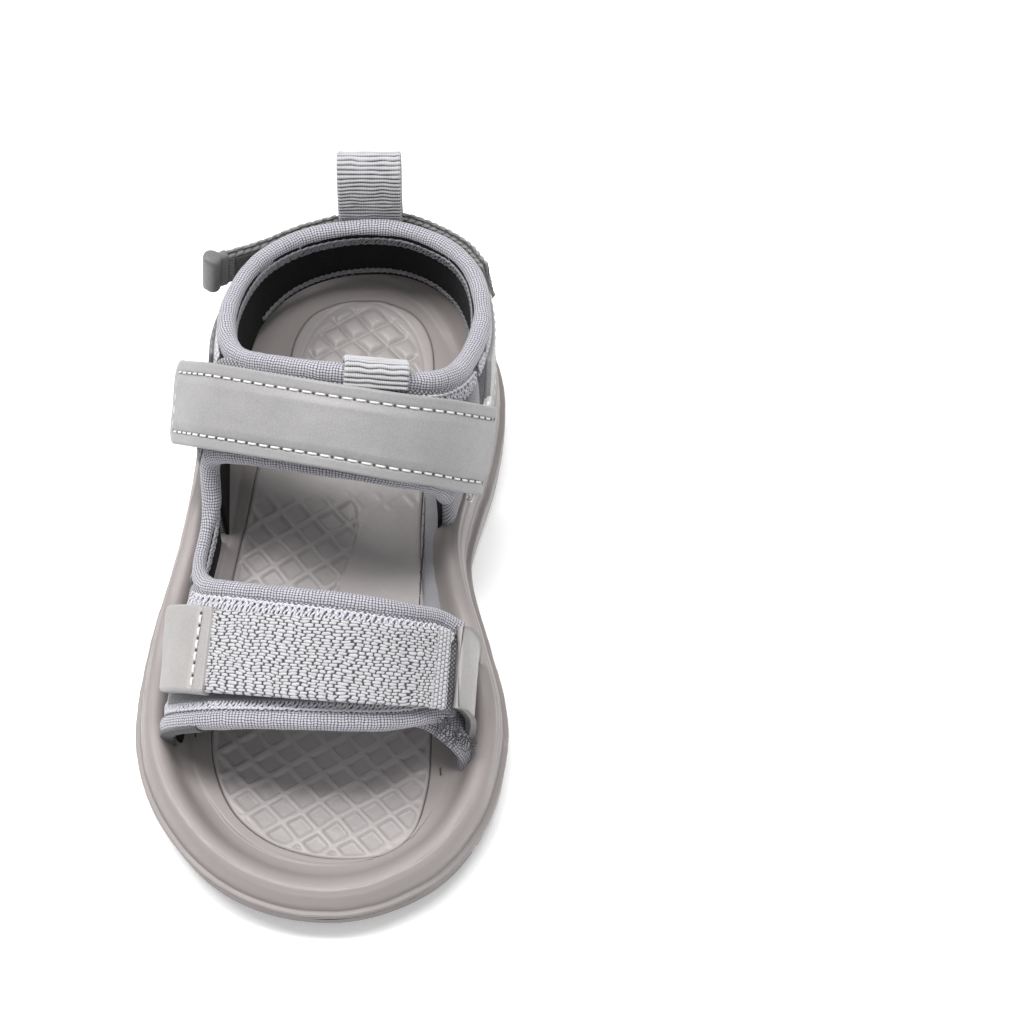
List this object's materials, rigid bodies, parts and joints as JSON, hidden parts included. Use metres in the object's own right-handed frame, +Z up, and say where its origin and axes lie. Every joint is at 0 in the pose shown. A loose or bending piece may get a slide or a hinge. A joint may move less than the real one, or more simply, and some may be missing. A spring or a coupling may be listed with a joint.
{
  "type": "child's sport sandal",
  "caption": "Closed-back strappy sport sandal with a thick rimmed foam sole, quilted footbed, padded textile bands and hook-and-loop straps over forefoot, instep and heel.",
  "frame": {"origin": "on the ground, at the centre of the bounding box seen from above", "axes": "-Y towards the toe, +Y towards the heel, +X towards the inner side of the foot, -X towards the outer side, +Z up"},
  "size_m": [0.0872, 0.183, 0.0791],
  "materials": {
    "footbed_foam": "satin quilted foam",
    "face_textile": "knit",
    "padding_foam": "open cell",
    "lining_textile": "napped",
    "loop_tape": "loop pile",
    "lower_binding_textile": "woven",
    "hook_tape": "hook pile",
    "tab_leather": "fine grain, satin",
    "heel_webbing": "coarse weave",
    "binding_textile": "ribbed stretch tape",
    "ring_plastic": "translucent gloss",
    "strap_leather": "fine grain, satin",
    "board_textile": "felted",
    "overlay_textile": "woven",
    "midsole_foam": "satin foam",
    "outsole_rubber": "matte",
    "ribbon_grosgrain": "grosgrain",
    "strap_webbing": "jacquard weave"
  },
  "bodies": {
    "shoe": {"footbed": "footbed_foam", "heel_face": "face_textile", "heel_foam": "padding_foam", "heel_lining": "lining_textile", "heel_loop_patch": "loop_tape", "heel_lower_binding": "lower_binding_textile", "heel_top_binding": "binding_textile", "heel_webbing_fixed": "heel_webbing", "instep_face": "face_textile", "instep_foam": "padding_foam", "instep_front_binding": "binding_textile", "instep_lining": "lining_textile", "instep_loop_patch": "loop_tape", "instep_rear_binding": "binding_textile", "instep_ring": "ring_plastic", "instep_ring_tab": "heel_webbing", "lasting_board": "board_textile", "lateral_overlay": "overlay_textile", "medial_flap": "face_textile", "medial_flap_binding": "binding_textile", "medial_overlay": "strap_leather", "midsole": "midsole_foam", "outsole": "outsole_rubber", "pull_tab": "ribbon_grosgrain", "side_wall_binding": "binding_textile", "side_wall_face": "face_textile", "side_wall_lining": "lining_textile", "tongue_loop": "ribbon_grosgrain", "vamp_face": "face_textile", "vamp_foam": "padding_foam", "vamp_front_binding": "binding_textile", "vamp_lining": "lining_textile", "vamp_loop_patch": "loop_tape", "vamp_rear_binding": "binding_textile", "vamp_strap_anchor": "strap_leather"},
    "vamp_strap": {"vamp_strap_webbing": "strap_webbing", "vamp_strap_hook": "hook_tape", "vamp_strap_tab": "strap_leather"},
    "instep_strap": {"instep_strap_leather": "strap_leather", "instep_strap_padding": "padding_foam", "instep_strap_hook": "hook_tape"},
    "heel_strap": {"heel_strap_webbing": "heel_webbing", "heel_strap_hook": "hook_tape", "heel_strap_tab": "tab_leather"}
  },
  "joints": [
    {"name": "vamp_strap_peel", "type": "hinge", "parent": "shoe", "child": "vamp_strap", "pos_m": [0.02942, -0.04379, 0.03836], "axis": [0.0691, 0.9358, 0.3456], "range_deg": [0, 110]},
    {"name": "instep_strap_peel", "type": "hinge", "parent": "shoe", "child": "instep_strap", "pos_m": [0.03691, 0.01048, 0.04843], "axis": [0.1798, 0.7913, 0.5845], "range_deg": [0, 110]},
    {"name": "heel_strap_peel", "type": "hinge", "parent": "shoe", "child": "heel_strap", "pos_m": [0.00039, 0.0817, 0.0427], "axis": [0, 0.227, -0.9739], "range_deg": [0, 100]}
  ]
}
